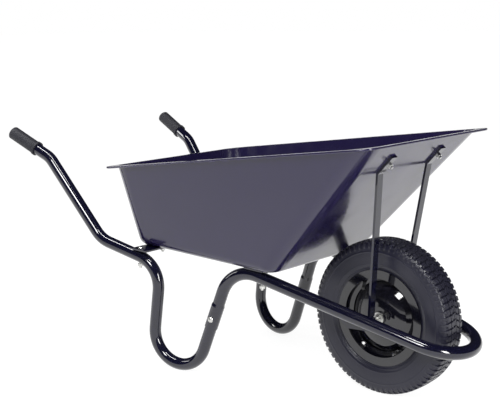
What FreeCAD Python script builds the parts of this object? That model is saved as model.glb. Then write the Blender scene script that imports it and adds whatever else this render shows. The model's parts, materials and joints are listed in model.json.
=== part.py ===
import FreeCAD, Part
import math
import os

# Builder's wheelbarrow: a pressed steel tray on a bent tube frame with one pneumatic wheel.
# X points forward to the wheel, Y to the left, Z up. All sizes are in millimetres.
# Pieces are drawn about a point on the ground under the axle and moved when exported,
# so that the origin ends up on the ground in the middle of the barrow's length and width.

V = FreeCAD.Vector
UP = V(0, 0, 1)
ACROSS = V(0, 1, 0)

# ---- wheel and axle ----
wheel_radius = 195.0
tyre_width = 86.0
tyre_wall = 7.0
tread_wall = 11.0
rim_flange_radius = 121.0
bead_seat_radius = 102.0
rim_well_radius = 92.0
rim_width = 74.0
rim_sheet = 2.2
inner_tube_wall = 2.0
inner_tube_slack = 6.0
axle_diameter = 12.0
hub_width = 70.0
hub_diameter = 34.0
bearing_diameter = 28.0
bearing_width = 8.0
ball_diameter = 2.8
nut_across_flats = 18.0
axle_nut_height = 9.0

# ---- tube frame ----
tube_diameter = 32.0
tube_wall = 1.5
axle_half_spread = 124.0
splay = 0.163
tube_rise_at_axle = 17.0
nose_gap = 23.5
leg_bend_radius = 81.0
leg_bottom_along = -524.0
arch_along = -358.0
arch_height = 306.0
arch_bend_radius = 88.0
knee_along = -582.0
knee_height = 280.0
knee_bend_radius = 79.0
shoulder_along = -779.0
shoulder_height = 332.5
shoulder_bend_radius = 80.0
wrist_along = -952.5
wrist_height = 547.0
wrist_bend_radius = 60.0
handle_end_along = -1084.0
handle_end_height = 610.0
socket_length = 64.0
socket_low_height = 133.0
socket_wall = 1.6

# ---- grips ----
grip_length = 98.0
grip_wall = 2.0
grip_collar_width = 7.0

# ---- tray ----
sheet = 1.5
floor_half_width = 208.0
floor_rear = -682.0
floor_front = -205.0
floor_corner_radius = 45.0
floor_edge_bend = 26.0
rim_rear = -744.0
rim_front = 133.0
rim_rear_half_width = 267.0
rim_front_half_width = 280.0
rear_depth = 212.0
front_depth = 343.0
rim_lip = 16.0
rim_corner_radius = 40.0
wall_corner_radius = 62.0
bead_diameter = 5.6

# ---- brackets and straps ----
strap_thickness = 4.0
rear_strap_width = 56.0
rear_strap_back = -654.0
front_strap_width = 60.0
strap_overhang = 20.0
rear_bolt_inset = 16.0
rear_tray_bolt_inset = 44.0
front_bolt_inset = 44.0
rear_tray_bolt_y = 172.0
front_tray_bolt_y = 66.0
lug_thickness = 5.0
lug_rear = 52.0
lug_front = 26.0
lug_drop = 14.0
stay_width = 22.0
stay_thickness = 6.0
stay_high_half_spread = 109.0
stay_foot_length = 58.0
stay_foot_start = 364.0
stay_eye_radius = 13.0

# ---- small fasteners ----
bolt_diameter = 8.0
bolt_nut_across_flats = 13.0
bolt_nut_height = 6.5
bolt_tail = 5.0
head_diameter = 16.0
head_height = 4.5
hole_gap = 0.25

# ---- clearances ----
running_gap = 0.05
seat_gap = 0.05
soft_gap = 0.3

tube_radius = tube_diameter / 2
axle_height = wheel_radius
side_angle = math.degrees(math.atan(splay))
side_stretch = math.sqrt(1 + splay * splay)


def unit(vector):
    return V(vector).normalize()


def corner(before, vertex, after, radius):
    """Start, middle and end of the arc that rounds a corner."""
    u = unit(before - vertex)
    w = unit(after - vertex)
    half = u.getAngle(w) / 2
    reach = radius / math.tan(half)
    inward = unit(u + w)
    middle = vertex + inward * (radius / math.sin(half) - radius)
    return vertex + u * reach, middle, vertex + w * reach


def arc(points):
    return Part.Arc(*points).toShape()


def line(a, b):
    return Part.makeLine(a, b)


def rounded_path(points, radii):
    """Edges of an open path whose inner corners are rounded."""
    edges = []
    start = points[0]
    for i, radius in enumerate(radii):
        bend = corner(start, points[i + 1], points[i + 2], radius)
        edges.append(line(start, bend[0]))
        edges.append(arc(bend))
        start = bend[2]
    edges.append(line(start, points[-1]))
    return edges


def rounded_loop(corners, radius):
    """Closed wire through rounded corners."""
    bends = []
    count = len(corners)
    for i in range(count):
        bends.append(corner(corners[i - 1], corners[i], corners[(i + 1) % count], radius))
    edges = []
    for i in range(count):
        edges.append(arc(bends[i]))
        edges.append(line(bends[i][2], bends[(i + 1) % count][0]))
    return Part.Wire(edges)


def disc(centre, axis, radius, bore=0.0):
    face = Part.Face(Part.Wire(Part.makeCircle(radius, centre, axis)))
    if bore > 0:
        face = face.cut(Part.Face(Part.Wire(Part.makeCircle(bore, centre, axis))))
    return face


def run_of_tube(edges, radius, bore=0.0):
    """Round bar or tube that follows straight and circular edges."""
    pieces = []
    for edge in edges:
        start = edge.valueAt(edge.FirstParameter)
        heading = edge.tangentAt(edge.FirstParameter)
        face = disc(start, heading, radius, bore)
        if isinstance(edge.Curve, Part.Circle):
            turn = math.degrees(edge.LastParameter - edge.FirstParameter)
            pieces.append(face.revolve(edge.Curve.Center, edge.Curve.Axis, turn))
        else:
            pieces.append(face.extrude(heading * edge.Length))
    solid = pieces[0]
    for piece in pieces[1:]:
        solid = solid.fuse(piece)
    return solid


def ring(y0, y1, radius, bore):
    """Round collar about the axle between two stations across the barrow."""
    return disc(V(0, y0, axle_height), ACROSS, radius, bore).extrude(ACROSS * (y1 - y0))


def turned(stops):
    """Solid turned about the axle from (radius, across) stops; a third value marks an arc's middle."""
    places = [V(0, stop[1], axle_height + stop[0]) for stop in stops]
    edges = []
    i = 0
    while i < len(stops):
        after = (i + 1) % len(stops)
        if len(stops[after]) == 3:
            beyond = (i + 2) % len(stops)
            edges.append(arc([places[i], places[after], places[beyond]]))
            i += 2
        else:
            edges.append(line(places[i], places[after]))
            i += 1
    return Part.Face(Part.Wire(edges)).revolve(V(0, 0, axle_height), ACROSS, 360)


def other_side(stops):
    """The same stops on the other side of the middle plane."""
    return [(stop[0], -stop[1]) + tuple(stop[2:]) for stop in stops]


def closed_section(outer, inner):
    """Section from outer and inner halves that both run from the edge to the middle."""
    return outer + other_side(outer[::-1]) + other_side(inner) + inner[::-1]


def hexagon(base, axis, flats, height, bore):
    """Hexagon nut standing on a point, with its axis along the given direction."""
    radius = flats / math.sqrt(3)
    corners = []
    for i in range(7):
        angle = math.radians(60 * i)
        corners.append(V(radius * math.cos(angle), radius * math.sin(angle), 0))
    body = Part.Face(Part.makePolygon(corners)).extrude(UP * height)
    body = body.common(Part.makeCone(flats * 0.49 + height, flats * 0.49 + 0.01, height + 0.6))
    body = body.cut(Part.makeCylinder(bore, height))
    body.Placement = FreeCAD.Placement(base, FreeCAD.Rotation(UP, axis))
    return body


def dome_bolt(seat, axis, shank, length):
    """Bolt with a domed head that sits on a point; the shank runs along the axis."""
    sphere_radius = (head_diameter ** 2 / 4 + head_height ** 2) / (2 * head_height)
    ball = Part.makeSphere(sphere_radius, V(0, 0, sphere_radius - head_height))
    head = ball.common(Part.makeCylinder(head_diameter / 2, head_height, V(0, 0, -head_height)))
    body = head.fuse(Part.makeCylinder(shank / 2, length))
    body.Placement = FreeCAD.Placement(seat, FreeCAD.Rotation(UP, axis))
    return body


def bolt_hole(seat, axis, length, reach=20.0):
    return Part.makeCylinder(bolt_diameter / 2 + hole_gap, length + 2 * reach, seat - axis * reach, axis)


def bolt_set(seat, axis, grip):
    """A bolt, its nut and its hole for a stack of the given thickness."""
    gap = seat_gap
    bolt = dome_bolt(seat - axis * gap, axis, bolt_diameter, grip + bolt_nut_height + bolt_tail)
    nut_base = seat + axis * (grip + gap)
    nut = hexagon(nut_base, axis, bolt_nut_across_flats, bolt_nut_height, bolt_diameter / 2 + seat_gap)
    return bolt, nut


def mirrored(shape):
    return shape.mirror(V(0, 0, 0), ACROSS)


def to_right(shape):
    """Move a shape from the flat side view to the splayed right side."""
    placed = shape.copy()
    placed.rotate(V(0, 0, 0), UP, side_angle)
    placed.translate(V(0, -axle_half_spread, 0))
    return placed


def right_point(along, across, height):
    return to_right(Part.Vertex(along, across, height)).Point


def export(name, shapes):
    items = shapes if isinstance(shapes, list) else [shapes]
    solids = []
    for item in items:
        solids.extend(item.removeSplitter().Solids)
    shape = solids[0] if len(solids) == 1 else Part.makeCompound(solids)
    shape.translate(V(axle_ahead_of_origin, 0, 0))
    shape.exportStep("parts/" + name + ".step")


# ---- the origin, midway between the grips' ends and the front of the nose loop ----

grip_outer = tube_radius + soft_gap + grip_wall
handle_slope = math.atan2(handle_end_height - wrist_height, wrist_along - handle_end_along)
grip_reach = (soft_gap + grip_wall) * math.cos(handle_slope) + grip_outer * math.sin(handle_slope)
rear_end = (handle_end_along - grip_reach) / side_stretch
front_end = wheel_radius + nose_gap + tube_diameter
axle_ahead_of_origin = -(rear_end + front_end) / 2

# ---- side view of the frame, with the tube centreline in the XZ plane ----

slope = (arch_height - axle_height - tube_rise_at_axle) / arch_along


def straight_height(along):
    """Height of the front straight's centreline."""
    return axle_height + tube_rise_at_axle + slope * along


def rear_straight_height(along):
    """Height of the centreline of the short straight under the tray's rear."""
    share = (along - knee_along) / (shoulder_along - knee_along)
    return knee_height + share * (shoulder_height - knee_height)


def tangent_point(point, centre, radius, side):
    """Where the line from a point just touches a circle in the XZ plane."""
    dx = point.x - centre.x
    dz = point.z - centre.z
    angle = math.atan2(dz, dx) + side * math.acos(radius / math.hypot(dx, dz))
    return V(centre.x + radius * math.cos(angle), 0, centre.z + radius * math.sin(angle))


leg_centre = V(leg_bottom_along, 0, leg_bend_radius + tube_radius)
leg_bottom = V(leg_bottom_along, 0, tube_radius)
knee = V(knee_along, 0, knee_height)
arch = V(arch_along, 0, arch_height)
straight_ahead = V(0, 0, straight_height(0))
leg_rear = tangent_point(knee, leg_centre, leg_bend_radius, 1)
leg_front = tangent_point(arch, leg_centre, leg_bend_radius, -1)
limb = unit(arch - leg_front)
arch_bend = corner(leg_front, arch, straight_ahead, arch_bend_radius)


def on_limb(height):
    return leg_front + limb * ((height - leg_front.z) / limb.z)


socket_low = on_limb(socket_low_height)
socket_top = socket_low + limb * socket_length
socket_inner = tube_radius + running_gap * 2
socket_outer = socket_inner + socket_wall
flare_length = 8.0


def handle_tube():
    """Right handle and leg in the side view, from the grip down to the joint."""
    points = [
        V(handle_end_along, 0, handle_end_height),
        V(wrist_along, 0, wrist_height),
        V(shoulder_along, 0, shoulder_height),
        knee,
        leg_rear,
    ]
    edges = rounded_path(points, [wrist_bend_radius, shoulder_bend_radius, knee_bend_radius])
    edges.append(arc([leg_rear, leg_bottom, leg_front]))
    edges.append(line(leg_front, socket_top - limb * 2))
    return run_of_tube(edges, tube_radius, tube_radius - tube_wall)


def socket():
    """Widened end of the front frame that takes the handle tube."""
    outer = run_of_tube([line(socket_low, socket_top)], socket_outer, socket_inner)
    flare = Part.makeCone(socket_outer, tube_radius, flare_length, socket_top, limb)
    hollow = Part.makeCone(socket_inner, tube_radius - tube_wall, flare_length, socket_top, limb)
    return outer.fuse(flare.cut(hollow))


def front_frame():
    """One tube: left arch, left straight, nose loop, right straight and right arch."""
    rise = [line(socket_top + limb * flare_length, arch_bend[0]), arc(arch_bend)]
    half = to_right(run_of_tube(rise, tube_radius, tube_radius - tube_wall).fuse(socket()))
    tip = V(axle_half_spread / splay, 0, 0)
    tip.z = straight_height(tip.x * side_stretch)
    start = right_point(arch_bend[2].x, 0, arch_bend[2].z)
    heading = unit(tip - start)
    opening = unit(start - tip).getAngle(unit(V(start.x, -start.y, start.z) - tip)) / 2
    back = unit(V(-heading.x, 0, -heading.z))
    nose_centre_x = wheel_radius + nose_gap + tube_radius
    reach = 1 / math.sin(opening) - 1
    nose_radius = (tip.x - nose_centre_x) / (-back.x * reach)
    nose = corner(start, tip, V(start.x, -start.y, start.z), nose_radius)
    edges = [line(start, nose[0]), arc(nose), line(nose[2], V(start.x, -start.y, start.z))]
    loop = run_of_tube(edges, tube_radius, tube_radius - tube_wall)
    return loop.fuse(half).fuse(mirrored(half))


# ---- tray ----

strap_back_along = rear_strap_back * side_stretch
tilt = tube_radius / math.cos(math.atan((shoulder_height - knee_height) / (shoulder_along - knee_along)))
rear_seat = V(rear_strap_back, 0, rear_straight_height(strap_back_along) + tilt + strap_thickness)
arch_inward = unit(unit(leg_front - arch) + unit(straight_ahead - arch))
arch_centre = arch_bend[1] + arch_inward * arch_bend_radius
arch_crest = right_point(arch_centre.x, 0, arch_centre.z + arch_bend_radius + tube_radius)
front_seat = V(arch_crest.x, 0, arch_crest.z + strap_thickness)
floor_slope = (front_seat.z - rear_seat.z) / (front_seat.x - rear_seat.x)


def floor_height(x):
    """Height of the underside of the tray."""
    return rear_seat.z + floor_slope * (x - rear_seat.x)


rim_rear_height = floor_height(floor_rear) + rear_depth
rim_front_height = floor_height(floor_front) + front_depth
rim_slope = (rim_front_height - rim_rear_height) / (rim_front - rim_rear)


def rim_height(x):
    return rim_rear_height + rim_slope * (x - rim_rear)


floor_down = unit(V(floor_slope, 0, -1))
rim_up = unit(V(-rim_slope, 0, 1))


def outline(rear, rear_half, front, front_half, radius, height, lift=0.0):
    """Rounded four-sided wire lying in a sloping plane."""
    corners = [
        V(rear, -rear_half, height(rear) + lift),
        V(front, -front_half, height(front) + lift),
        V(front, front_half, height(front) + lift),
        V(rear, rear_half, height(rear) + lift),
    ]
    return rounded_loop(corners, radius)


def wall_angle(run, rise):
    return math.atan2(rise, run)


wall_top_rear = rim_rear + rim_lip
wall_top_front = rim_front - rim_lip
wall_front_angle = wall_angle(wall_top_front - floor_front, rim_height(wall_top_front) - floor_height(floor_front))
wall_rear_angle = wall_angle(floor_rear - wall_top_rear, rim_height(wall_top_rear) - floor_height(floor_rear))
front_inset = sheet / math.sin(wall_front_angle)
rear_inset = sheet / math.sin(wall_rear_angle)


def hopper(inset_rear, inset_front, inset_side, lift, radius_loss, bend):
    """Solid block in the shape of the tray's outside or inside."""
    low = outline(
        floor_rear + inset_rear, floor_half_width - inset_side,
        floor_front - inset_front, floor_half_width - inset_side,
        floor_corner_radius - radius_loss, floor_height, lift)
    high = outline(
        wall_top_rear + inset_rear, rim_rear_half_width - rim_lip - inset_side,
        wall_top_front - inset_front, rim_front_half_width - rim_lip - inset_side,
        wall_corner_radius - radius_loss, rim_height, 0.0)
    block = Part.makeLoft([low, high], True, True)
    floor_edges = []
    for edge in block.Edges:
        middle = edge.valueAt((edge.FirstParameter + edge.LastParameter) / 2)
        if abs(middle.z - floor_height(middle.x) - lift) < 0.01:
            floor_edges.append(edge)
    return block.makeFillet(bend, floor_edges)


def tray_shell():
    """Pressed tray: floor, four walls, turned-out lip and rolled edge."""
    outside = hopper(0, 0, 0, 0, 0, floor_edge_bend)
    inside = hopper(rear_inset, front_inset, sheet, sheet, sheet, floor_edge_bend - sheet)
    lip_outline = outline(
        rim_rear + 1, rim_rear_half_width - 1, rim_front - 1, rim_front_half_width - 1,
        rim_corner_radius, rim_height)
    lip = Part.Face(lip_outline).extrude(rim_up * -sheet)
    mouth_outline = outline(
        wall_top_rear + rear_inset, rim_rear_half_width - rim_lip - sheet,
        wall_top_front - front_inset, rim_front_half_width - rim_lip - sheet,
        wall_corner_radius - sheet, rim_height)
    opening = Part.Face(mouth_outline).extrude(rim_up * 2)
    bead_radius = bead_diameter / 2
    centreline = outline(
        rim_rear + bead_radius, rim_rear_half_width - bead_radius,
        rim_front - bead_radius, rim_front_half_width - bead_radius,
        rim_corner_radius - bead_radius, rim_height, -bead_radius)
    bead = run_of_tube(centreline.Edges, bead_radius)
    return outside.fuse(lip).cut(inside).cut(opening).fuse(bead)


# ---- cross straps under the tray ----

front_strap_back = arch_crest.x - 6.0


def strap(back, width):
    """Flat bar across the frame, parallel to the tray floor."""
    front = back + width
    middle = back + width / 2
    half = axle_half_spread - splay * middle + strap_overhang
    corners = [
        V(back, -half, floor_height(back)),
        V(front, -half, floor_height(front)),
        V(front, half, floor_height(front)),
        V(back, half, floor_height(back)),
    ]
    return Part.Face(Part.makePolygon(corners + corners[:1])).extrude(floor_down * strap_thickness)


# ---- stays between the axle and the front of the tray ----

wall_along = V(math.cos(wall_front_angle), 0, math.sin(wall_front_angle))
wall_out = V(math.sin(wall_front_angle), 0, -math.cos(wall_front_angle))
wall_foot = V(floor_front, 0, floor_height(floor_front))


def on_front_wall(distance, y, out=0.0):
    """Point on the outside of the tray's front wall."""
    return wall_foot + wall_along * distance + wall_out * out + V(0, y, 0)


def bar(a, b, width, thickness):
    """Flat bar from a to b, with its wide side across the barrow."""
    heading = unit(b - a)
    wide = unit(ACROSS - heading * ACROSS.dot(heading))
    thin = heading.cross(wide)
    corners = []
    for i, j in ((-1, -1), (1, -1), (1, 1), (-1, 1)):
        corners.append(a + wide * (i * width / 2) + thin * (j * thickness / 2))
    return Part.Face(Part.makePolygon(corners + corners[:1])).extrude(b - a)


stay_bolt_place = stay_foot_start + stay_foot_length * 0.6


def stay():
    """Right stay: an eye on the axle, a long flat bar and a foot on the tray."""
    low = V(0, -stay_low_half_spread, axle_height + stay_eye_radius - 2)
    bend = on_front_wall(stay_foot_start, -stay_high_half_spread, stay_thickness / 2)
    foot_end = on_front_wall(stay_foot_start + stay_foot_length, -stay_high_half_spread, stay_thickness / 2)
    past_bend = bend + unit(bend - low) * (stay_thickness / 2)
    long_bar = bar(low, past_bend, stay_width, stay_thickness)
    foot = bar(bend - wall_along * (stay_thickness / 3), foot_end, stay_width, stay_thickness)
    eye_y = -stay_low_half_spread - lug_thickness / 2
    eye = ring(eye_y, eye_y + lug_thickness, stay_eye_radius, axle_diameter / 2 + hole_gap)
    beyond = Part.makeBox(400, 400, 100, V(-200, -200, -100))
    beyond.Placement = FreeCAD.Placement(
        on_front_wall(stay_foot_start, -stay_high_half_spread), FreeCAD.Rotation(UP, wall_out))
    body = long_bar.fuse(foot).cut(beyond).fuse(eye)
    hole = bolt_hole(on_front_wall(stay_bolt_place, -stay_high_half_spread), wall_out, stay_thickness)
    return body.cut(hole)


# ---- axle lugs ----

def lug():
    """Plate welded inside the right tube that carries the axle."""
    face_y = tube_radius
    low = axle_height - lug_drop
    outline_points = [
        V(-lug_rear, face_y, straight_height(-lug_rear)),
        V(lug_front, face_y, straight_height(lug_front)),
        V(lug_front, face_y, low),
        V(-lug_rear + 16, face_y, low),
        V(-lug_rear, face_y, low + 12),
    ]
    plate = Part.Face(Part.makePolygon(outline_points + outline_points[:1])).extrude(ACROSS * lug_thickness)
    hole = Part.makeCylinder(
        axle_diameter / 2 + hole_gap, 4 * axle_half_spread, V(0, -2 * axle_half_spread, axle_height), ACROSS)
    return to_right(plate).cut(hole)


# ---- wheel ----

rim_half = rim_width / 2
tyre_half = tyre_width / 2
sidewall_radius = (wheel_radius + rim_flange_radius) / 2 - 6
shoulder_radius = wheel_radius - 11


def tyre():
    """Tyre carcass, open towards the rim."""
    bead = rim_half - rim_sheet - soft_gap
    toe = bead_seat_radius + soft_gap
    outer = [
        (toe, -bead),
        (rim_flange_radius + 2, -bead),
        (sidewall_radius, -tyre_half, True),
        (shoulder_radius, -tyre_half * 0.86),
        (wheel_radius, 0, True),
    ]
    inner = [
        (toe, -bead + 11),
        (rim_flange_radius, -bead + tyre_wall + 1),
        (sidewall_radius, -tyre_half + tyre_wall, True),
        (wheel_radius - tread_wall - 7, -tyre_half * 0.62),
        (wheel_radius - tread_wall, 0, True),
    ]
    return turned(outer + other_side(outer[:-1][::-1]) + other_side(inner) + inner[:-1][::-1])


def inner_tube():
    """Air tube that fills the tyre."""
    low = bead_seat_radius + 2
    high = wheel_radius - tread_wall - 4
    middle = sidewall_radius
    broad = tyre_half - tyre_wall - inner_tube_slack
    wall = inner_tube_wall
    foot = 11.0
    crown = 15.0
    skin = [
        (low, -foot), (middle, -broad, True), (high, -crown),
        (high, crown), (middle, broad, True), (low, foot),
    ]
    air = [
        (low + wall, -foot), (middle, -broad + wall, True), (high - wall, -crown),
        (high - wall, crown), (middle, broad - wall, True), (low + wall, foot),
    ]
    return turned(skin).cut(turned(air))


def rim():
    """Rolled rim: two flanges, two bead seats and a well between them."""
    outer = [
        (rim_flange_radius, -rim_half),
        (rim_flange_radius, -rim_half + rim_sheet),
        (bead_seat_radius, -rim_half + rim_sheet),
        (bead_seat_radius - 1, -20),
        (rim_well_radius, -14),
    ]
    inner = [
        (bead_seat_radius - rim_sheet, -rim_half),
        (bead_seat_radius - 1 - rim_sheet, -21),
        (rim_well_radius - rim_sheet, -15),
    ]
    return turned(closed_section(outer, inner)).cut(valve_run(valve_radius + hole_gap))


disc_skirt_radius = rim_well_radius - rim_sheet - seat_gap
hub_radius = hub_diameter / 2
disc_ledge = 84.0
dome_radius = 73.0
dome_edge_across = 25.0
dome_top_across = 33.0


def wheel_disc():
    """Right pressed disc: skirt, slanted ledge and dome."""
    face = [
        (disc_skirt_radius, -6),
        (disc_skirt_radius, -12),
        (disc_ledge, -17),
        (dome_radius, -dome_edge_across),
        (dome_radius - 22, -dome_top_across + 1, True),
        (hub_radius + seat_gap, -dome_top_across),
    ]
    back = [
        (disc_skirt_radius - rim_sheet, -6),
        (disc_skirt_radius - rim_sheet, -11),
        (disc_ledge - rim_sheet, -15),
        (dome_radius - 1, -dome_edge_across + rim_sheet),
        (dome_radius - 22, -dome_top_across + 1 + rim_sheet, True),
        (hub_radius + seat_gap, -dome_top_across + rim_sheet),
    ]
    return turned(face + back[::-1])


hub_half = hub_width / 2
bearing_radius = bearing_diameter / 2
axle_radius = axle_diameter / 2
ball_radius = ball_diameter / 2
ball_pitch = (bearing_radius + axle_radius) / 2
ball_count = 8


def hub():
    """Hub tube with a bearing pocket at each end."""
    step = hub_half - bearing_width
    return turned([
        (hub_radius, -hub_half), (bearing_radius + seat_gap, -hub_half), (bearing_radius + seat_gap, -step),
        (bearing_radius - 2, -step), (bearing_radius - 2, step), (bearing_radius + seat_gap, step),
        (bearing_radius + seat_gap, hub_half), (hub_radius, hub_half),
    ])


def bearing_outer_ring():
    inner = ball_pitch + ball_radius + seat_gap
    return ring(-hub_half, -hub_half + bearing_width - seat_gap, bearing_radius, inner)


def bearing_inner_ring():
    outer = ball_pitch - ball_radius - soft_gap
    return ring(-hub_half - 1, -hub_half + bearing_width, outer, axle_radius + seat_gap)


def bearing_balls():
    balls = []
    for i in range(ball_count):
        angle = 2 * math.pi * i / ball_count
        centre = V(
            ball_pitch * math.cos(angle), -hub_half + bearing_width / 2, axle_height + ball_pitch * math.sin(angle))
        balls.append(Part.makeSphere(ball_radius, centre))
    return balls


def bearing_spacer():
    """Sleeve that holds the two inner rings apart."""
    half = hub_half - bearing_width - seat_gap
    outer = ball_pitch - ball_radius - soft_gap
    return ring(-half, half, outer, axle_radius + seat_gap)


# ---- valve ----

valve_radius = 4.0
valve_thread_radius = 2.5
valve_sunk = 7.0
valve_body_length = 22.0
valve_thread_length = 8.0
valve_angle = 125.0
valve_lean = 36.0

valve_root = V(0, -16, axle_height + 97)
valve_axis = V(0, -math.cos(math.radians(valve_lean)), -math.sin(math.radians(valve_lean)))


def about_axle(shape):
    """Turn a shape made above the axle to the valve's place."""
    turned_shape = shape.copy()
    turned_shape.rotate(V(0, 0, axle_height), ACROSS, 90 - valve_angle)
    return turned_shape


def valve_run(radius):
    return about_axle(Part.makeCylinder(radius, 2 * valve_body_length, valve_root - valve_axis * 10, valve_axis))


def valve_stem():
    """Rubber-covered stem and its bare threaded end."""
    start = valve_root - valve_axis * valve_sunk
    body = Part.makeCylinder(valve_radius, valve_body_length, start, valve_axis)
    thread = Part.makeCylinder(valve_thread_radius, valve_body_length + valve_thread_length, start, valve_axis)
    return about_axle(body.fuse(thread))


def valve_cap():
    start = valve_root + valve_axis * (valve_body_length - valve_sunk + seat_gap)
    cap = Part.makeCylinder(valve_radius, valve_thread_length + 2, start, valve_axis)
    bore = Part.makeCylinder(valve_thread_radius + soft_gap, valve_thread_length + soft_gap, start, valve_axis)
    return about_axle(cap.cut(bore))


# ---- axle and what sits on it ----

lug_face = axle_half_spread - (tube_radius + lug_thickness) * side_stretch
lug_nut_face = lug_face - nut_across_flats / math.sqrt(3) * splay - seat_gap
hub_washer_thickness = 2.5
hub_washer_radius = 15.0
hub_washer_face = hub_half + 1 + seat_gap
hub_nut_face = hub_washer_face + hub_washer_thickness + seat_gap
stay_low_half_spread = (hub_nut_face + lug_nut_face) / 2


def axle():
    """Studding that carries the hub and ends flush in the lugs."""
    half = axle_half_spread - tube_radius * side_stretch - 1
    return ring(-half, half, axle_radius, 0)


def axle_nuts():
    """Right-hand nuts: at the hub, each side of the stay eye, and inside the lug."""
    eye_half = lug_thickness / 2 + seat_gap
    starts = [
        hub_nut_face,
        stay_low_half_spread - eye_half - axle_nut_height,
        stay_low_half_spread + eye_half,
        lug_nut_face - axle_nut_height,
    ]
    return [
        hexagon(V(0, -start, axle_height), -ACROSS, nut_across_flats, axle_nut_height, axle_radius + seat_gap)
        for start in starts
    ]


def hub_washer():
    return ring(-hub_washer_face - hub_washer_thickness, -hub_washer_face, hub_washer_radius, axle_radius + seat_gap)


# ---- grip ----

def grip():
    """Rubber sleeve with a closed rounded end and a collar."""
    end = V(handle_end_along, 0, handle_end_height)
    heading = unit(V(wrist_along, 0, wrist_height) - end)
    bore = tube_radius + soft_gap
    outer = grip_outer
    back = end - heading * (soft_gap + grip_wall)
    body = Part.makeCylinder(outer, grip_length, back, heading)
    rim_edge = [e for e in body.Edges if e.Length > outer and (e.valueAt(0) - back).dot(heading) < 0.1
                and isinstance(e.Curve, Part.Circle)]
    body = body.makeFillet(grip_wall * 0.9, rim_edge)
    collar = Part.makeCylinder(
        outer + grip_wall, grip_collar_width, back + heading * (grip_length - grip_collar_width), heading)
    hollow = Part.makeCylinder(bore, grip_length, end - heading * soft_gap, heading)
    return body.fuse(collar).cut(hollow)


# ---- bolts through the frame and the tray ----

rear_bolt_x = rear_strap_back + rear_bolt_inset
rear_tray_bolt_x = rear_strap_back + rear_tray_bolt_inset
front_bolt_x = front_strap_back + front_bolt_inset


def frame_bolt(x, height_at, above):
    """Bolt down through a strap and the right tube, with its head the given height above the strap."""
    y = -(axle_half_spread - splay * x)
    seat = V(x, y, floor_height(x)) - floor_down * above
    along = x * side_stretch
    under = min(height_at(along - 8), height_at(along + 8)) - tilt - 0.5
    return bolt_set(seat, floor_down, seat.z - under), bolt_hole(seat, floor_down, seat.z - under)


def tray_bolt(x, y):
    """Bolt down through the tray floor and a strap."""
    seat = V(x, y, floor_height(x)) - floor_down * sheet
    grip_thickness = sheet + strap_thickness
    return bolt_set(seat, floor_down, grip_thickness), bolt_hole(seat, floor_down, grip_thickness, 3.0)


def joint_bolt():
    """Bolt across the socket on the right side."""
    centre = socket_low + limb * (socket_length * 0.42)
    seat = centre - ACROSS * (socket_outer + 0.6)
    thickness = 2 * socket_outer + 1.2
    bolt, nut = bolt_set(seat, ACROSS, thickness)
    return (to_right(bolt), to_right(nut)), to_right(bolt_hole(seat, ACROSS, thickness))


def stay_bolt():
    """Bolt from inside the tray through the front wall and the stay's foot."""
    seat = on_front_wall(stay_bolt_place, -stay_high_half_spread, -sheet)
    grip_thickness = sheet + stay_thickness
    return bolt_set(seat, wall_out, grip_thickness), bolt_hole(seat, wall_out, grip_thickness, 3.0)


# ---- build and export ----

rear_frame, rear_frame_hole = frame_bolt(rear_bolt_x, rear_straight_height, 0.0)
front_frame_set, front_frame_hole = frame_bolt(front_bolt_x, straight_height, sheet)
rear_tray, rear_tray_hole = tray_bolt(rear_tray_bolt_x, -rear_tray_bolt_y)
front_tray, front_tray_hole = tray_bolt(front_bolt_x, -front_tray_bolt_y)
joint, joint_hole = joint_bolt()
stay_fixing, stay_hole = stay_bolt()


def both(shapes):
    return shapes + [mirrored(shape) for shape in shapes]


tray = tray_shell()
for hole in both([rear_tray_hole, front_tray_hole, front_frame_hole, stay_hole]):
    tray = tray.cut(hole)
export("tray", tray)

frame = front_frame()
for hole in both([front_frame_hole, joint_hole]):
    frame = frame.cut(hole)
export("front_frame_tube", frame)

right_handle = to_right(handle_tube()).cut(rear_frame_hole).cut(joint_hole)
export("right_handle_tube", right_handle)
export("left_handle_tube", mirrored(right_handle))

right_grip = to_right(grip())
export("right_grip", right_grip)
export("left_grip", mirrored(right_grip))

rear_strap = strap(rear_strap_back, rear_strap_width)
for hole in both([rear_frame_hole, rear_tray_hole]):
    rear_strap = rear_strap.cut(hole)
export("rear_strap", rear_strap)

front_strap = strap(front_strap_back, front_strap_width)
for hole in both([front_frame_hole, front_tray_hole]):
    front_strap = front_strap.cut(hole)
export("front_strap", front_strap)

right_stay = stay()
export("right_stay", right_stay)
export("left_stay", mirrored(right_stay))
right_lug = lug()
export("right_axle_lug", right_lug)
export("left_axle_lug", mirrored(right_lug))

export("axle", axle())
export("axle_nuts", both(axle_nuts()))
export("hub_washers", both([hub_washer()]))
export("bearing_spacer", bearing_spacer())
export("wheel_hub", hub())
export("wheel_rim", rim())
export("tyre", tyre())
export("inner_tube", inner_tube())
right_disc = wheel_disc()
export("right_wheel_disc", right_disc)
export("left_wheel_disc", mirrored(right_disc))
export("right_bearing_outer_ring", bearing_outer_ring())
export("left_bearing_outer_ring", mirrored(bearing_outer_ring()))
export("right_bearing_inner_ring", bearing_inner_ring())
export("left_bearing_inner_ring", mirrored(bearing_inner_ring()))
export("right_bearing_balls", bearing_balls())
export("left_bearing_balls", [mirrored(ball) for ball in bearing_balls()])
export("valve_stem", valve_stem())
export("valve_cap", valve_cap())

export("frame_bolts", both([rear_frame[0], front_frame_set[0]]))
export("frame_nuts", both([rear_frame[1], front_frame_set[1]]))
export("tray_bolts", both([rear_tray[0], front_tray[0]]))
export("tray_nuts", both([rear_tray[1], front_tray[1]]))
export("joint_bolts", both([joint[0]]))
export("joint_nuts", both([joint[1]]))
export("stay_bolts", both([stay_fixing[0]]))
export("stay_nuts", both([stay_fixing[1]]))
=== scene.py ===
import bpy
import bmesh
import json
import math
from mathutils import Matrix, Vector


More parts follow.
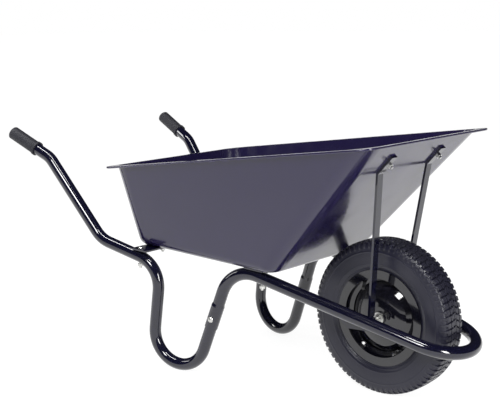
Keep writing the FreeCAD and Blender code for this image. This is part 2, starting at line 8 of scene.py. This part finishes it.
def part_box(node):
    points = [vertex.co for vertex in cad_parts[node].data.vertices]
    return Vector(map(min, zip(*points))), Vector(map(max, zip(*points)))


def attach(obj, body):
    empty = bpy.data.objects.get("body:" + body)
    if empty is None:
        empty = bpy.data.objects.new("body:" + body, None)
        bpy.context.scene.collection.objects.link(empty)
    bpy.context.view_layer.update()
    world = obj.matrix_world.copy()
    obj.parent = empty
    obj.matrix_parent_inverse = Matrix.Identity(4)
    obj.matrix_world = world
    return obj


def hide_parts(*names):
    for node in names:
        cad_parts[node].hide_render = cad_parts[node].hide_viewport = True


# Looks of the builder's wheelbarrow, in metres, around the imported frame.

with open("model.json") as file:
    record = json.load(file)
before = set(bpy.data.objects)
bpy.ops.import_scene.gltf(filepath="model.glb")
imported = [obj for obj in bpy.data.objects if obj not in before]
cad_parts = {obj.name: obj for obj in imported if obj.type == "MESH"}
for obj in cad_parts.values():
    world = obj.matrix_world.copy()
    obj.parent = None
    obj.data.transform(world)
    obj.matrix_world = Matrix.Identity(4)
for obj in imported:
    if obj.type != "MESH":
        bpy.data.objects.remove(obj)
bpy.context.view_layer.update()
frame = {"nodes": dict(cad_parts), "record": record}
parts = frame["nodes"]

# ---- places taken from the frame ----

tyre_low, tyre_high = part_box("tyre")
wheel_centre = (tyre_low + tyre_high) / 2
wheel_radius = (tyre_high.z - tyre_low.z) / 2
tyre_half = (tyre_high.y - tyre_low.y) / 2
rim_low, rim_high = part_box("wheel_rim")
flange_radius = (rim_high.z - rim_low.z) / 2
rim_half = (rim_high.y - rim_low.y) / 2

# ---- sizes of the detail ----

TREAD_DEPTH = 0.0042
BEAD_RADIUS_INSIDE = 0.0175
SHOULDER_LUGS = 76
CENTRE_BLOCKS = 76
TURNED_STEPS = 144


# ---- shader helpers ----

def new_tree(name, inputs, outputs):
    tree = bpy.data.node_groups.new(name, "ShaderNodeTree")
    for label, kind, value in inputs:
        made = tree.interface.new_socket(label, in_out="INPUT", socket_type=kind)
        if value is not None:
            made.default_value = value
    for label, kind in outputs:
        tree.interface.new_socket(label, in_out="OUTPUT", socket_type=kind)
    return tree, tree.nodes.new("NodeGroupInput"), tree.nodes.new("NodeGroupOutput")


def noise(tree, vector, scale, detail=3.0):
    node = tree.nodes.new("ShaderNodeTexNoise")
    node.inputs["Detail"].default_value = detail
    tree.links.new(vector, node.inputs["Vector"])
    if isinstance(scale, (int, float)):
        node.inputs["Scale"].default_value = scale
    else:
        tree.links.new(scale, node.inputs["Scale"])
    return node.outputs["Fac"]


def remap(tree, value, low, high, to_low=0.0, to_high=1.0):
    node = tree.nodes.new("ShaderNodeMapRange")
    node.inputs["From Min"].default_value = low
    node.inputs["From Max"].default_value = high
    tree.links.new(value, node.inputs["Value"])
    for label, target in (("To Min", to_low), ("To Max", to_high)):
        if isinstance(target, (int, float)):
            node.inputs[label].default_value = target
        else:
            tree.links.new(target, node.inputs[label])
    return node.outputs["Result"]


def sums(tree, operation, a, b):
    node = tree.nodes.new("ShaderNodeMath")
    node.operation = operation
    for i, value in enumerate((a, b)):
        if isinstance(value, (int, float)):
            node.inputs[i].default_value = value
        else:
            tree.links.new(value, node.inputs[i])
    return node.outputs[0]


def colour_mix(tree, amount, a, b):
    node = tree.nodes.new("ShaderNodeMix")
    node.data_type = "RGBA"
    tree.links.new(amount, node.inputs["Factor"])
    for label, value in (("A", a), ("B", b)):
        socket = [s for s in node.inputs if s.name == label and s.type == "RGBA"][0]
        if isinstance(value, tuple):
            socket.default_value = value
        else:
            tree.links.new(value, socket)
    return [s for s in node.outputs if s.type == "RGBA"][0]


def make_surface_group():
    """Dust in patches, uneven gloss and a fine skin, shared by every finish."""
    tree, given, out = new_tree(
        "surface_life",
        [("Colour", "NodeSocketColor", (0.02, 0.02, 0.03, 1)),
         ("Dust Colour", "NodeSocketColor", (0.2, 0.19, 0.18, 1)),
         ("Dust", "NodeSocketFloat", 0.1),
         ("Smooth", "NodeSocketFloat", 0.1),
         ("Dull", "NodeSocketFloat", 0.3),
         ("Skin Scale", "NodeSocketFloat", 900.0),
         ("Skin Height", "NodeSocketFloat", 0.02)],
        [("Colour", "NodeSocketColor"), ("Roughness", "NodeSocketFloat"), ("Normal", "NodeSocketVector")])
    place = tree.nodes.new("ShaderNodeTexCoord").outputs["Object"]
    cloud = remap(tree, noise(tree, place, 7.0, 5.0), 0.38, 0.72)
    specks = remap(tree, noise(tree, place, 420.0, 2.0), 0.62, 0.74)
    mask = sums(tree, "MULTIPLY", sums(tree, "ADD", cloud, specks), given.outputs["Dust"])
    tree.links.new(
        colour_mix(tree, mask, given.outputs["Colour"], given.outputs["Dust Colour"]), out.inputs["Colour"])
    uneven = remap(tree, noise(tree, place, 16.0, 4.0), 0.3, 0.7, given.outputs["Smooth"], given.outputs["Dull"])
    tree.links.new(uneven, out.inputs["Roughness"])
    bump = tree.nodes.new("ShaderNodeBump")
    bump.inputs["Distance"].default_value = 0.001
    tree.links.new(given.outputs["Skin Height"], bump.inputs["Strength"])
    tree.links.new(noise(tree, place, given.outputs["Skin Scale"], 2.0), bump.inputs["Height"])
    tree.links.new(bump.outputs["Normal"], out.inputs["Normal"])
    return tree


surface_life = make_surface_group()


def finish(name, colour, dust_colour, dust, smooth, dull, skin_scale, skin_height, metallic=0.0, coat=0.0):
    """A material whose colour, gloss and skin come from the shared group."""
    made = bpy.data.materials.new(name)
    made.use_nodes = True
    tree = made.node_tree
    shader = tree.nodes["Principled BSDF"]
    group = tree.nodes.new("ShaderNodeGroup")
    group.node_tree = surface_life
    group.inputs["Colour"].default_value = colour + (1,)
    group.inputs["Dust Colour"].default_value = dust_colour + (1,)
    group.inputs["Dust"].default_value = dust
    group.inputs["Smooth"].default_value = smooth
    group.inputs["Dull"].default_value = dull
    group.inputs["Skin Scale"].default_value = skin_scale
    group.inputs["Skin Height"].default_value = skin_height
    tree.links.new(group.outputs["Colour"], shader.inputs["Base Color"])
    tree.links.new(group.outputs["Roughness"], shader.inputs["Roughness"])
    tree.links.new(group.outputs["Normal"], shader.inputs["Normal"])
    shader.inputs["Metallic"].default_value = metallic
    shader.inputs["Coat Weight"].default_value = coat
    shader.inputs["Coat Roughness"].default_value = 0.04
    return made


DUST = (0.16, 0.155, 0.17)
enamel = finish("black_enamel", (0.003, 0.003, 0.012), DUST, 0.015, 0.07, 0.16, 260.0, 0.012, coat=0.6)
tray_enamel = finish("tray_enamel", (0.010, 0.007, 0.036), DUST, 0.02, 0.1, 0.24, 150.0, 0.02, coat=0.3)
wheel_enamel = finish("wheel_enamel", (0.002, 0.002, 0.005), DUST, 0.03, 0.06, 0.15, 240.0, 0.012, coat=0.6)
zinc = finish("zinc_plate", (0.66, 0.66, 0.64), (0.3, 0.3, 0.29), 0.25, 0.2, 0.42, 1500.0, 0.03, metallic=1.0)
bearing_steel = finish("bearing_steel", (0.6, 0.6, 0.61), (0.2, 0.18, 0.14), 0.2, 0.12, 0.24, 1800.0, 0.02, metallic=1.0)
grip_rubber = finish("grip_rubber", (0.012, 0.012, 0.018), DUST, 0.05, 0.55, 0.72, 1300.0, 0.2)
tyre_rubber = finish("tyre_rubber", (0.006, 0.006, 0.017), DUST, 0.035, 0.3, 0.44, 1100.0, 0.12)
tread_rubber = finish("tread_rubber", (0.009, 0.009, 0.019), DUST, 0.09, 0.26, 0.42, 900.0, 0.12)
tube_rubber = finish("tube_rubber", (0.014, 0.014, 0.016), DUST, 0.1, 0.45, 0.6, 1000.0, 0.1)
cap_plastic = finish("cap_plastic", (0.012, 0.012, 0.013), DUST, 0.05, 0.4, 0.5, 1200.0, 0.08)

SLOT_FINISH = {
    "black_enamel": enamel,
    "wheel_enamel": wheel_enamel,
    "zinc_plate": zinc,
    "bearing_steel": bearing_steel,
    "grip_rubber": grip_rubber,
    "tyre_rubber": tyre_rubber,
    "tube_rubber": tube_rubber,
    "cap_plastic": cap_plastic,
}
slot_of = {row["node"]: row["material_slot"] for row in frame["record"]["subparts"]}


def paint(piece, material):
    piece.data.materials.clear()
    piece.data.materials.append(material)


for name, part in parts.items():
    paint(part, tray_enamel if name == "tray" else SLOT_FINISH[slot_of[name]])


# ---- mesh helpers ----

def mesh_piece(name, vertices, faces, material, smooth=True):
    mesh = bpy.data.meshes.new(name)
    mesh.from_pydata([tuple(v) for v in vertices], [], faces)
    mesh.update()
    work = bmesh.new()
    work.from_mesh(mesh)
    bmesh.ops.recalc_face_normals(work, faces=work.faces)
    work.to_mesh(mesh)
    work.free()
    for face in mesh.polygons:
        face.use_smooth = smooth
    made = bpy.data.objects.new(name, mesh)
    bpy.context.scene.collection.objects.link(made)
    mesh.materials.append(material)
    return made


def lathe(name, section, material, steps=TURNED_STEPS):
    """Closed (radius, across) section turned about the axle."""
    vertices = []
    count = len(section)
    for i in range(steps):
        angle = 2 * math.pi * i / steps
        for radius, across in section:
            vertices.append(wheel_centre + Vector((radius * math.cos(angle), across, radius * math.sin(angle))))
    faces = []
    for i in range(steps):
        here = i * count
        there = ((i + 1) % steps) * count
        for j in range(count):
            k = (j + 1) % count
            faces.append((here + j, here + k, there + k, there + j))
    return mesh_piece(name, vertices, faces, material)


def make_wheel_array(material):
    """Geometry tree that repeats one block about the axle."""
    tree = bpy.data.node_groups.new("around_the_axle", "GeometryNodeTree")
    tree.interface.new_socket("Block", in_out="INPUT", socket_type="NodeSocketGeometry")
    tree.interface.new_socket("Count", in_out="INPUT", socket_type="NodeSocketInt")
    tree.interface.new_socket("First Angle", in_out="INPUT", socket_type="NodeSocketFloat")
    tree.interface.new_socket("Centre", in_out="INPUT", socket_type="NodeSocketVector")
    tree.interface.new_socket("Result", in_out="OUTPUT", socket_type="NodeSocketGeometry")
    add = tree.nodes.new
    link = tree.links.new
    given = add("NodeGroupInput")
    out = add("NodeGroupOutput")
    points = add("GeometryNodePoints")
    link(given.outputs["Count"], points.inputs["Count"])
    link(given.outputs["Centre"], points.inputs["Position"])
    index = add("GeometryNodeInputIndex")
    share = add("ShaderNodeMath")
    share.operation = "DIVIDE"
    link(index.outputs[0], share.inputs[0])
    link(given.outputs["Count"], share.inputs[1])
    angle = add("ShaderNodeMath")
    angle.operation = "MULTIPLY_ADD"
    link(share.outputs[0], angle.inputs[0])
    angle.inputs[1].default_value = 2 * math.pi
    link(given.outputs["First Angle"], angle.inputs[2])
    turn = add("ShaderNodeCombineXYZ")
    link(angle.outputs[0], turn.inputs["Y"])
    copies = add("GeometryNodeInstanceOnPoints")
    link(points.outputs[0], copies.inputs["Points"])
    link(given.outputs["Block"], copies.inputs["Instance"])
    link(turn.outputs[0], copies.inputs["Rotation"])
    real = add("GeometryNodeRealizeInstances")
    link(copies.outputs[0], real.inputs[0])
    coat = add("GeometryNodeSetMaterial")
    coat.inputs["Material"].default_value = material
    link(real.outputs[0], coat.inputs["Geometry"])
    link(coat.outputs[0], out.inputs[0])
    return tree


def repeat_about_axle(name, block, tree, count, first_angle):
    """Run the tree on a block and keep its result as one plain mesh."""
    sockets = {item.name: item.identifier for item in tree.interface.items_tree}
    modifier = block.modifiers.new("repeat", "NODES")
    modifier.node_group = tree
    modifier[sockets["Count"]] = count
    modifier[sockets["First Angle"]] = first_angle
    modifier[sockets["Centre"]] = tuple(wheel_centre)
    bpy.context.view_layer.update()
    ready = block.evaluated_get(bpy.context.evaluated_depsgraph_get())
    mesh = bpy.data.meshes.new_from_object(ready)
    mesh.name = name
    block.modifiers.remove(modifier)
    bpy.data.objects.remove(block)
    made = bpy.data.objects.new(name, mesh)
    bpy.context.scene.collection.objects.link(made)
    return made


# ---- tyre ----

def smooth_curve(stops, steps):
    """Points along a curve through the stops."""
    points = []
    last = len(stops) - 1
    for i in range(last):
        a = stops[max(i - 1, 0)]
        b = stops[i]
        c = stops[i + 1]
        d = stops[min(i + 2, last)]
        for k in range(steps):
            t = k / steps
            points.append(tuple(
                0.5 * (2 * b[n] + (c[n] - a[n]) * t + (2 * a[n] - 5 * b[n] + 4 * c[n] - d[n]) * t * t
                       + (3 * b[n] - a[n] - 3 * c[n] + d[n]) * t ** 3) for n in (0, 1)))
    points.append(stops[-1])
    return points


bead_half = rim_half - 0.0026
belt = wheel_radius - TREAD_DEPTH
HALF_TYRE = [
    (flange_radius - BEAD_RADIUS_INSIDE, -bead_half),
    (flange_radius + 0.002, -bead_half),
    (flange_radius + 0.013, -tyre_half * 0.945),
    (flange_radius + 0.030, -tyre_half * 0.995),
    (wheel_radius - 0.026, -tyre_half * 0.975),
    (wheel_radius - 0.0125, -tyre_half * 0.90),
    (wheel_radius - 0.0062, -tyre_half * 0.75),
    (wheel_radius - 0.0047, -tyre_half * 0.40),
    (belt, 0.0),
]


def tyre_surface():
    """Right half of the carcass, from the bead to the middle of the tread."""
    return smooth_curve(HALF_TYRE, 8)


def with_rings(points):
    """Raise the fine moulded rings on the sidewall."""
    ringed = []
    for radius, across in points:
        lift = 0.0
        for place, height, width in ((0.007, 0.0012, 0.0012), (0.016, 0.0007, 0.0012), (0.046, 0.0009, 0.0016)):
            off = (radius - flange_radius - place) / width
            lift += height * math.exp(-off * off)
        ringed.append((radius, max(across - lift, -tyre_half)))
    return ringed


def make_carcass():
    skin = with_rings(smooth_curve(HALF_TYRE, 14))
    inside = [(radius - 0.006, across * 0.84) for radius, across in skin if radius > flange_radius + 0.004]
    inside = [(flange_radius - BEAD_RADIUS_INSIDE, -bead_half + 0.010)] + inside
    outer = skin + [(r, -y) for r, y in skin[:-1][::-1]]
    inner = [(r, -y) for r, y in inside] + [(r, y) for r, y in inside[:-1][::-1]]
    return lathe("tyre_carcass", outer + inner, tyre_rubber)


def surface_at(across):
    """Radius of the carcass at a place across the tread."""
    points = [p for p in tyre_surface() if p[0] > flange_radius + 0.03]
    for a, b in zip(points, points[1:]):
        if a[1] <= across <= b[1]:
            return a[0] + (b[0] - a[0]) * (across - a[1]) / (b[1] - a[1])
    return points[-1][0]


def block_on_tread(name, stations, height, skew=0.0):
    """One rubber block: stations are (across, half length round the tyre, middle round the tyre)."""
    vertices = []
    for across, half, middle in stations:
        low = surface_at(-abs(across)) - 0.001
        high = min(low + 0.001 + height, wheel_radius - 0.0001)
        for radius, shrink in ((low, 1.0), (high, 0.84)):
            for side in (-1, 1):
                angle = (middle + side * half * shrink + skew * across) / wheel_radius
                vertices.append((radius * math.sin(angle), across, radius * math.cos(angle)))
    faces = []
    for i in range(len(stations) - 1):
        a = i * 4
        b = a + 4
        faces += [(a, a + 2, b + 2, b), (a + 2, a + 3, b + 3, b + 2), (a + 3, a + 1, b + 1, b + 3), (a, b, b + 1, a + 1)]
    end = (len(stations) - 1) * 4
    faces += [(0, 1, 3, 2), (end, end + 2, end + 3, end + 1)]
    return mesh_piece(name, vertices, faces, tread_rubber, smooth=False)


def make_tread():
    tree = make_wheel_array(tread_rubber)
    pitch = 2 * math.pi * wheel_radius / SHOULDER_LUGS
    pieces = []
    for side, word in ((-1, "right"), (1, "left")):
        turn = 0.0 if side < 0 else math.pi / SHOULDER_LUGS
        bar = [(side * tyre_half * f, pitch * h, pitch * m) for f, h, m in (
            (0.955, 0.17, -0.17), (0.90, 0.19, -0.17), (0.83, 0.20, -0.17), (0.76, 0.20, -0.17),
            (0.755, 0.40, 0.0), (0.66, 0.42, 0.0), (0.56, 0.42, 0.03), (0.46, 0.40, 0.06))]
        block = block_on_tread("lug", bar, TREAD_DEPTH, skew=side * 0.12)
        pieces.append(repeat_about_axle(word + "_shoulder_lugs", block, tree, SHOULDER_LUGS, turn))
        zigzag = [(side * tyre_half * f, pitch * h, pitch * m) for f, h, m in (
            (0.40, 0.40, -0.14), (0.30, 0.42, 0.10), (0.20, 0.42, -0.14), (0.10, 0.40, 0.06))]
        block = block_on_tread("block", zigzag, TREAD_DEPTH, skew=side * 0.25)
        pieces.append(repeat_about_axle(word + "_centre_blocks", block, tree, CENTRE_BLOCKS, turn / 2))
    rib = [(0.0026, pitch * 0.5, 0.0), (-0.0026, pitch * 0.5, 0.0)]
    block = block_on_tread("rib", rib, TREAD_DEPTH)
    pieces.append(repeat_about_axle("middle_rib", block, tree, CENTRE_BLOCKS, 0.0))
    return pieces


carcass = make_carcass()
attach(carcass, "wheel")
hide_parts("tyre")
for piece in make_tread():
    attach(piece, "wheel")

# ---- camera ----

LOOK_YAW = math.radians(39.38)
LOOK_DOWN = math.radians(9.78)
LOOK_ROLL = math.radians(-0.48)
CAMERA_FROM_WHEEL = Vector((1.375, -2.114, 0.726))

forward = Vector((
    -math.sin(LOOK_YAW) * math.cos(LOOK_DOWN), math.cos(LOOK_YAW) * math.cos(LOOK_DOWN), -math.sin(LOOK_DOWN)))
level = forward.cross(Vector((0, 0, 1))).normalized()
upright = level.cross(forward)
right = level * math.cos(LOOK_ROLL) + upright * math.sin(LOOK_ROLL)
above = right.cross(forward)
camera_data = bpy.data.cameras.new("camera")
camera_data.sensor_width = 36.0
camera_data.lens = 75.0
camera_data.shift_x = -0.048
camera_data.shift_y = -0.002
camera = bpy.data.objects.new("camera", camera_data)
placed = Matrix((right, above, -forward)).transposed().to_4x4()
placed.translation = Vector((wheel_centre.x, 0, wheel_centre.z)) + CAMERA_FROM_WHEEL
camera.matrix_world = placed
bpy.context.scene.collection.objects.link(camera)
bpy.context.scene.camera = camera

# ---- floor, light and background ----

scene = bpy.context.scene
scene.view_settings.view_transform = "Standard"


def make_floor():
    half = 60.0
    floor = mesh_piece(
        "floor", [(-half, -half, 0), (half, -half, 0), (half, half, 0), (-half, half, 0)], [(0, 1, 2, 3)],
        floor_material(), smooth=False)
    for vertex in floor.data.vertices:
        vertex.co.z = -0.0005


def floor_material():
    """Pale floor that looks white to the camera and in gloss, and still takes the shadow."""
    made = bpy.data.materials.new("pale_floor")
    made.use_nodes = True
    tree = made.node_tree
    shader = tree.nodes["Principled BSDF"]
    shader.inputs["Base Color"].default_value = (0.8, 0.8, 0.8, 1)
    shader.inputs["Roughness"].default_value = 0.9
    glow = tree.nodes.new("ShaderNodeEmission")
    glow.inputs["Color"].default_value = (1, 1, 1, 1)
    glow.inputs["Strength"].default_value = 1.2
    rays = tree.nodes.new("ShaderNodeLightPath")
    seen = sums(tree, "MAXIMUM", rays.outputs["Is Camera Ray"], rays.outputs["Is Glossy Ray"])
    seen = sums(tree, "MAXIMUM", seen, rays.outputs["Is Transmission Ray"])
    amount = sums(tree, "MULTIPLY", seen, 0.76)
    mix = tree.nodes.new("ShaderNodeMixShader")
    tree.links.new(amount, mix.inputs[0])
    tree.links.new(shader.outputs[0], mix.inputs[1])
    tree.links.new(glow.outputs[0], mix.inputs[2])
    tree.links.new(mix.outputs[0], tree.nodes["Material Output"].inputs["Surface"])
    return made


def make_world():
    """White to the camera, a darker studio overhead in reflections, a plain level for the rest."""
    world = bpy.data.worlds.new("studio")
    scene.world = world
    world.use_nodes = True
    tree = world.node_tree
    plain = tree.nodes["Background"]
    rays = tree.nodes.new("ShaderNodeLightPath")
    place = tree.nodes.new("ShaderNodeTexCoord")
    split = tree.nodes.new("ShaderNodeSeparateXYZ")
    tree.links.new(place.outputs["Generated"], split.inputs[0])
    overhead = remap(tree, split.outputs["Z"], 0.0, 0.12, 0.22, 0.012)
    plain.inputs["Color"].default_value = (1, 1, 1, 1)
    level_of = sums(tree, "MULTIPLY", rays.outputs["Is Glossy Ray"], overhead)
    rest = sums(tree, "MULTIPLY", sums(tree, "SUBTRACT", 1.0, rays.outputs["Is Glossy Ray"]), 0.55)
    level_of = sums(tree, "ADD", level_of, rest)
    seen = sums(tree, "MAXIMUM", rays.outputs["Is Camera Ray"], rays.outputs["Is Transmission Ray"])
    level_of = sums(tree, "MAXIMUM", level_of, seen)
    tree.links.new(level_of, plain.inputs["Strength"])


def softbox(name, place, target, width, height, power):
    light = bpy.data.lights.new(name, "AREA")
    light.shape = "RECTANGLE"
    light.size = width
    light.size_y = height
    light.energy = power
    lamp = bpy.data.objects.new(name, light)
    lamp.location = place
    lamp.rotation_euler = (Vector(target) - Vector(place)).to_track_quat("-Z", "Y").to_euler()
    scene.collection.objects.link(lamp)


make_floor()
make_world()
middle = Vector((0, 0, 0.35))
hub = Vector((wheel_centre.x, -0.03, wheel_centre.z))
softbox("key", (1.0, -3.0, 2.6), middle, 1.0, 0.7, 60)
softbox("wheel_front", (2.6, -0.9, 0.9), hub, 0.5, 1.0, 38)
softbox("top_strip", (0.0, -0.9, 3.0), middle, 2.6, 0.22, 60)
softbox("rear_side", (-2.6, -1.6, 1.6), middle, 0.3, 1.4, 12)
